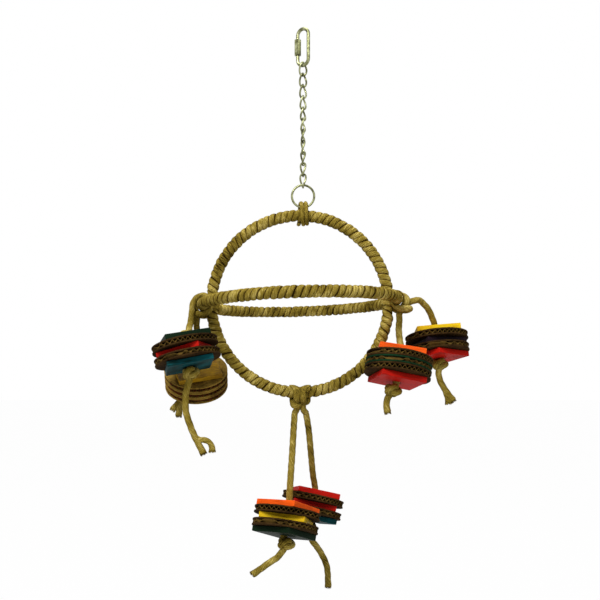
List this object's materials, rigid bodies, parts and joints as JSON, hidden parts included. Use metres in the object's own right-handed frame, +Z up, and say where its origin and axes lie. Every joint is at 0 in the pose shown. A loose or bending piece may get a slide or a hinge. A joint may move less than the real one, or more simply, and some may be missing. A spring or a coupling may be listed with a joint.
{
  "type": "hanging bird perch",
  "caption": "Hanging bird perch: two crossed jute-wound hoops on a chain and quick link, with knotted cords of dyed wood slabs and cardboard discs.",
  "frame": {"origin": "where the quick link hangs, at the inner top of its upper bend", "axes": "+Z up, -Y towards the front, the inner hoop in the XZ plane"},
  "size_m": [0.364, 0.2362, 0.656],
  "materials": {
    "steel": "satin",
    "core_wire": "satin",
    "jute": "matte",
    "cardboard": "matte",
    "cardboard_green": "matte",
    "wood_orange": "satin",
    "wood_red": "satin",
    "wood_yellow": "satin",
    "wood_green": "satin",
    "wood_teal": "satin",
    "wood_purple": "satin"
  },
  "bodies": {
    "quick_link": {"quick_link_body": "steel"},
    "sleeve": {"quick_link_sleeve": "steel"},
    "chain_link_01": {"chain_link_01": "steel"},
    "chain_link_02": {"chain_link_02": "steel"},
    "chain_link_03": {"chain_link_03": "steel"},
    "chain_link_04": {"chain_link_04": "steel"},
    "chain_link_05": {"chain_link_05": "steel"},
    "chain_link_06": {"chain_link_06": "steel"},
    "chain_link_07": {"chain_link_07": "steel"},
    "chain_link_08": {"chain_link_08": "steel"},
    "chain_link_09": {"chain_link_09": "steel"},
    "chain_link_10": {"chain_link_10": "steel"},
    "chain_link_11": {"chain_link_11": "steel"},
    "ring": {"hanging_ring": "steel"},
    "globe": {"top_lashing": "jute", "vertical_hoop_core": "core_wire", "vertical_hoop_winding": "jute", "horizontal_hoop_core": "core_wire", "horizontal_hoop_winding": "jute", "left_lashing": "jute", "right_lashing": "jute", "left_hitch": "jute", "right_hitch": "jute", "bottom_hitch": "jute"},
    "left_front_leg": {"left_front_cord": "jute"},
    "left_front_slab_1": {"left_front_slab_1": "wood_green"},
    "left_front_disc_2": {"left_front_disc_2": "cardboard"},
    "left_front_slab_3": {"left_front_slab_3": "wood_red"},
    "left_front_disc_4": {"left_front_disc_4": "cardboard"},
    "left_front_slab_5": {"left_front_slab_5": "wood_teal"},
    "left_rear_leg": {"left_rear_cord": "jute"},
    "left_rear_slab_1": {"left_rear_slab_1": "wood_yellow"},
    "left_rear_disc_2": {"left_rear_disc_2": "cardboard"},
    "left_rear_disc_3": {"left_rear_disc_3": "cardboard"},
    "left_rear_disc_4": {"left_rear_disc_4": "cardboard"},
    "right_front_leg": {"right_front_cord": "jute"},
    "right_front_slab_1": {"right_front_slab_1": "wood_orange"},
    "right_front_disc_2": {"right_front_disc_2": "cardboard"},
    "right_front_disc_3": {"right_front_disc_3": "cardboard_green"},
    "right_front_disc_4": {"right_front_disc_4": "cardboard"},
    "right_front_slab_5": {"right_front_slab_5": "wood_red"},
    "right_rear_leg": {"right_rear_cord": "jute"},
    "right_rear_slab_1": {"right_rear_slab_1": "wood_yellow"},
    "right_rear_disc_2": {"right_rear_disc_2": "cardboard"},
    "right_rear_slab_3": {"right_rear_slab_3": "wood_purple"},
    "right_rear_disc_4": {"right_rear_disc_4": "cardboard"},
    "right_rear_slab_5": {"right_rear_slab_5": "wood_red"},
    "bottom_front_leg": {"bottom_front_cord": "jute"},
    "bottom_front_slab_1": {"bottom_front_slab_1": "wood_orange"},
    "bottom_front_disc_2": {"bottom_front_disc_2": "cardboard"},
    "bottom_front_slab_3": {"bottom_front_slab_3": "wood_yellow"},
    "bottom_front_disc_4": {"bottom_front_disc_4": "cardboard"},
    "bottom_front_slab_5": {"bottom_front_slab_5": "wood_green"},
    "bottom_rear_leg": {"bottom_rear_cord": "jute"},
    "bottom_rear_slab_1": {"bottom_rear_slab_1": "wood_red"},
    "bottom_rear_disc_2": {"bottom_rear_disc_2": "cardboard"},
    "bottom_rear_slab_3": {"bottom_rear_slab_3": "wood_red"},
    "bottom_rear_disc_4": {"bottom_rear_disc_4": "cardboard"},
    "bottom_rear_slab_5": {"bottom_rear_slab_5": "wood_teal"}
  },
  "joints": [
    {"name": "sleeve_slide", "type": "slide", "parent": "quick_link", "child": "sleeve", "axis": [0, 0, -1], "range_m": [0, 0.0056]},
    {"name": "chain_link_01_swing", "type": "hinge", "parent": "quick_link", "child": "chain_link_01", "pos_m": [0, 0, -0.04], "axis": [0.866, -0.5, 0], "range_deg": [-30, 30]},
    {"name": "chain_link_02_swing", "type": "hinge", "parent": "chain_link_01", "child": "chain_link_02", "pos_m": [0, 0, -0.04945], "axis": [-0.3272, -0.9449, 0], "range_deg": [-30, 30]},
    {"name": "chain_link_03_swing", "type": "hinge", "parent": "chain_link_02", "child": "chain_link_03", "pos_m": [0, 0, -0.0648], "axis": [-0.9898, 0.1426, 0], "range_deg": [-30, 30]},
    {"name": "chain_link_04_swing", "type": "hinge", "parent": "chain_link_03", "child": "chain_link_04", "pos_m": [0, 0, -0.07515], "axis": [-0.0471, 0.9989, 0], "range_deg": [-30, 30]},
    {"name": "chain_link_05_swing", "type": "hinge", "parent": "chain_link_04", "child": "chain_link_05", "pos_m": [0, 0, -0.0905], "axis": [0.972, 0.2351, 0], "range_deg": [-30, 30]},
    {"name": "chain_link_06_swing", "type": "hinge", "parent": "chain_link_05", "child": "chain_link_06", "pos_m": [0, 0, -0.10085], "axis": [0.4147, -0.91, 0], "range_deg": [-30, 30]},
    {"name": "chain_link_07_swing", "type": "hinge", "parent": "chain_link_06", "child": "chain_link_07", "pos_m": [0, 0, -0.1162], "axis": [-0.8151, -0.5793, 0], "range_deg": [-30, 30]},
    {"name": "chain_link_08_swing", "type": "hinge", "parent": "chain_link_07", "child": "chain_link_08", "pos_m": [0, 0, -0.12655], "axis": [-0.723, 0.6909, 0], "range_deg": [-30, 30]},
    {"name": "chain_link_09_swing", "type": "hinge", "parent": "chain_link_08", "child": "chain_link_09", "pos_m": [0, 0, -0.1419], "axis": [0.5417, 0.8406, 0], "range_deg": [-30, 30]},
    {"name": "chain_link_10_swing", "type": "hinge", "parent": "chain_link_09", "child": "chain_link_10", "pos_m": [0, 0, -0.15225], "axis": [0.9278, -0.373, 0], "range_deg": [-30, 30]},
    {"name": "chain_link_11_swing", "type": "hinge", "parent": "chain_link_10", "child": "chain_link_11", "pos_m": [0, 0, -0.1676], "axis": [-0.1908, -0.9816, 0], "range_deg": [-30, 30]},
    {"name": "ring_swing", "type": "hinge", "parent": "chain_link_11", "child": "ring", "pos_m": [0, 0, -0.18045], "axis": [0, 1, 0], "range_deg": [-40, 40]},
    {"name": "globe_swing", "type": "hinge", "parent": "ring", "child": "globe", "pos_m": [0, 0, -0.20335], "axis": [1, 0, 0], "range_deg": [-35, 35]},
    {"name": "left_front_swing", "type": "hinge", "parent": "globe", "child": "left_front_leg", "pos_m": [-0.12852, -0.0059, -0.33709], "axis": [-1, 0, 0], "range_deg": [0, 24]},
    {"name": "left_front_slab_1_spin", "type": "hinge", "parent": "left_front_leg", "child": "left_front_slab_1", "pos_m": [-0.13235, -0.03644, -0.35745], "axis": [-0.22, 0.14, 0.9654], "continuous": true},
    {"name": "left_front_disc_2_spin", "type": "hinge", "parent": "left_front_leg", "child": "left_front_disc_2", "pos_m": [-0.13076, -0.03746, -0.36443], "axis": [-0.22, 0.14, 0.9654], "continuous": true},
    {"name": "left_front_slab_3_spin", "type": "hinge", "parent": "left_front_leg", "child": "left_front_slab_3", "pos_m": [-0.12917, -0.03847, -0.3714], "axis": [-0.22, 0.14, 0.9654], "continuous": true},
    {"name": "left_front_disc_4_spin", "type": "hinge", "parent": "left_front_leg", "child": "left_front_disc_4", "pos_m": [-0.12758, -0.03948, -0.37838], "axis": [-0.22, 0.14, 0.9654], "continuous": true},
    {"name": "left_front_slab_5_spin", "type": "hinge", "parent": "left_front_leg", "child": "left_front_slab_5", "pos_m": [-0.12599, -0.04049, -0.38535], "axis": [-0.22, 0.14, 0.9654], "continuous": true},
    {"name": "left_rear_swing", "type": "hinge", "parent": "globe", "child": "left_rear_leg", "pos_m": [-0.12852, 0.0059, -0.33709], "axis": [1, 0, 0], "range_deg": [0, 24]},
    {"name": "left_rear_slab_1_spin", "type": "hinge", "parent": "left_rear_leg", "child": "left_rear_slab_1", "pos_m": [-0.12517, 0.0159, -0.38652], "axis": [0.04, -0.6, 0.799], "continuous": true},
    {"name": "left_rear_disc_2_spin", "type": "hinge", "parent": "left_rear_leg", "child": "left_rear_disc_2", "pos_m": [-0.12546, 0.02024, -0.3923], "axis": [0.04, -0.6, 0.799], "continuous": true},
    {"name": "left_rear_disc_3_spin", "type": "hinge", "parent": "left_rear_leg", "child": "left_rear_disc_3", "pos_m": [-0.12577, 0.02492, -0.39853], "axis": [0.04, -0.6, 0.799], "continuous": true},
    {"name": "left_rear_disc_4_spin", "type": "hinge", "parent": "left_rear_leg", "child": "left_rear_disc_4", "pos_m": [-0.12609, 0.0296, -0.40476], "axis": [0.04, -0.6, 0.799], "continuous": true},
    {"name": "right_front_swing", "type": "hinge", "parent": "globe", "child": "right_front_leg", "pos_m": [0.11011, -0.0059, -0.33429], "axis": [-1, 0, 0], "range_deg": [0, 24]},
    {"name": "right_front_slab_1_spin", "type": "hinge", "parent": "right_front_leg", "child": "right_front_slab_1", "pos_m": [0.10707, -0.04063, -0.37299], "axis": [0.15, 0.2, 0.9682], "continuous": true},
    {"name": "right_front_disc_2_spin", "type": "hinge", "parent": "right_front_leg", "child": "right_front_disc_2", "pos_m": [0.10598, -0.04208, -0.37998], "axis": [0.15, 0.2, 0.9682], "continuous": true},
    {"name": "right_front_disc_3_spin", "type": "hinge", "parent": "right_front_leg", "child": "right_front_disc_3", "pos_m": [0.10482, -0.04364, -0.38754], "axis": [0.15, 0.2, 0.9682], "continuous": true},
    {"name": "right_front_disc_4_spin", "type": "hinge", "parent": "right_front_leg", "child": "right_front_disc_4", "pos_m": [0.10365, -0.0452, -0.39509], "axis": [0.15, 0.2, 0.9682], "continuous": true},
    {"name": "right_front_slab_5_spin", "type": "hinge", "parent": "right_front_leg", "child": "right_front_slab_5", "pos_m": [0.10256, -0.04664, -0.40208], "axis": [0.15, 0.2, 0.9682], "continuous": true},
    {"name": "right_rear_swing", "type": "hinge", "parent": "globe", "child": "right_rear_leg", "pos_m": [0.13278, 0.0059, -0.3088], "axis": [1, 0, 0], "range_deg": [0, 24]},
    {"name": "right_rear_slab_1_spin", "type": "hinge", "parent": "right_rear_leg", "child": "right_rear_slab_1", "pos_m": [0.15757, 0.0304, -0.34522], "axis": [-0.07, 0.19, 0.9793], "continuous": true},
    {"name": "right_rear_disc_2_spin", "type": "hinge", "parent": "right_rear_leg", "child": "right_rear_disc_2", "pos_m": [0.15807, 0.02902, -0.3523], "axis": [-0.07, 0.19, 0.9793], "continuous": true},
    {"name": "right_rear_slab_3_spin", "type": "hinge", "parent": "right_rear_leg", "child": "right_rear_slab_3", "pos_m": [0.15858, 0.02765, -0.35937], "axis": [-0.07, 0.19, 0.9793], "continuous": true},
    {"name": "right_rear_disc_4_spin", "type": "hinge", "parent": "right_rear_leg", "child": "right_rear_disc_4", "pos_m": [0.15909, 0.02628, -0.36645], "axis": [-0.07, 0.19, 0.9793], "continuous": true},
    {"name": "right_rear_slab_5_spin", "type": "hinge", "parent": "right_rear_leg", "child": "right_rear_slab_5", "pos_m": [0.15959, 0.02491, -0.37352], "axis": [-0.07, 0.19, 0.9793], "continuous": true},
    {"name": "bottom_front_swing", "type": "hinge", "parent": "globe", "child": "bottom_front_leg", "pos_m": [-0.0074, 0.00263, -0.43955], "axis": [-1, 0, 0], "range_deg": [0, 24]},
    {"name": "bottom_front_slab_1_spin", "type": "hinge", "parent": "bottom_front_leg", "child": "bottom_front_slab_1", "pos_m": [-0.01657, -0.03682, -0.54283], "axis": [0.148, 0.26, 0.9542], "continuous": true},
    {"name": "bottom_front_disc_2_spin", "type": "hinge", "parent": "bottom_front_leg", "child": "bottom_front_disc_2", "pos_m": [-0.01764, -0.0387, -0.54972], "axis": [0.148, 0.26, 0.9542], "continuous": true},
    {"name": "bottom_front_slab_3_spin", "type": "hinge", "parent": "bottom_front_leg", "child": "bottom_front_slab_3", "pos_m": [-0.01871, -0.04058, -0.55662], "axis": [0.148, 0.26, 0.9542], "continuous": true},
    {"name": "bottom_front_disc_4_spin", "type": "hinge", "parent": "bottom_front_leg", "child": "bottom_front_disc_4", "pos_m": [-0.01978, -0.04246, -0.56351], "axis": [0.148, 0.26, 0.9542], "continuous": true},
    {"name": "bottom_front_slab_5_spin", "type": "hinge", "parent": "bottom_front_leg", "child": "bottom_front_slab_5", "pos_m": [-0.02085, -0.04434, -0.57041], "axis": [0.148, 0.26, 0.9542], "continuous": true},
    {"name": "bottom_rear_swing", "type": "hinge", "parent": "globe", "child": "bottom_rear_leg", "pos_m": [0.0004, 0.00263, -0.43955], "axis": [1, 0, 0], "range_deg": [0, 24]},
    {"name": "bottom_rear_slab_1_spin", "type": "hinge", "parent": "bottom_rear_leg", "child": "bottom_rear_slab_1", "pos_m": [0.01327, 0.03737, -0.53665], "axis": [0.2, 0.2, 0.9592], "continuous": true},
    {"name": "bottom_rear_disc_2_spin", "type": "hinge", "parent": "bottom_rear_leg", "child": "bottom_rear_disc_2", "pos_m": [0.01182, 0.03592, -0.54358], "axis": [0.2, 0.2, 0.9592], "continuous": true},
    {"name": "bottom_rear_slab_3_spin", "type": "hinge", "parent": "bottom_rear_leg", "child": "bottom_rear_slab_3", "pos_m": [0.01038, 0.03447, -0.55051], "axis": [0.2, 0.2, 0.9592], "continuous": true},
    {"name": "bottom_rear_disc_4_spin", "type": "hinge", "parent": "bottom_rear_leg", "child": "bottom_rear_disc_4", "pos_m": [0.00893, 0.03303, -0.55744], "axis": [0.2, 0.2, 0.9592], "continuous": true},
    {"name": "bottom_rear_slab_5_spin", "type": "hinge", "parent": "bottom_rear_leg", "child": "bottom_rear_slab_5", "pos_m": [0.00749, 0.03159, -0.56437], "axis": [0.2, 0.2, 0.9592], "continuous": true}
  ]
}
